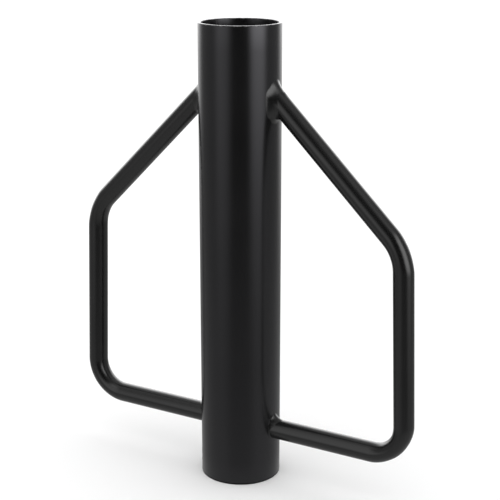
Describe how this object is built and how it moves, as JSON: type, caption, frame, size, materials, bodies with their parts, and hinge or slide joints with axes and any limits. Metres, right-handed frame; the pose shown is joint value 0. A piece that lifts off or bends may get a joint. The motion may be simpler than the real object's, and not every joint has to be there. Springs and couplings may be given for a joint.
{
  "type": "post driver",
  "caption": "Manual post driver: a steel pipe barrel closed at one end by a welded strike plate, with a bent tube handle welded to each side, in a satin black coat.",
  "frame": {"origin": "centre of the closed end, on the surface that it stands on", "axes": "+Z along the barrel to its open mouth, +X to the right handle and -X to the left one, +Y across them"},
  "size_m": [0.5154, 0.108, 0.618],
  "materials": {
    "barrel_coat": "satin black powder coat",
    "handle_coat": "satin black powder coat",
    "weld_coat": "satin black powder coat over a weld bead"
  },
  "bodies": {
    "root": {"barrel": "barrel_coat", "strike_plate": "barrel_coat", "plate_weld": "weld_coat", "left_handle": "handle_coat", "right_handle": "handle_coat", "left_lower_weld": "weld_coat", "left_upper_weld": "weld_coat", "right_lower_weld": "weld_coat", "right_upper_weld": "weld_coat"}
  },
  "joints": []
}
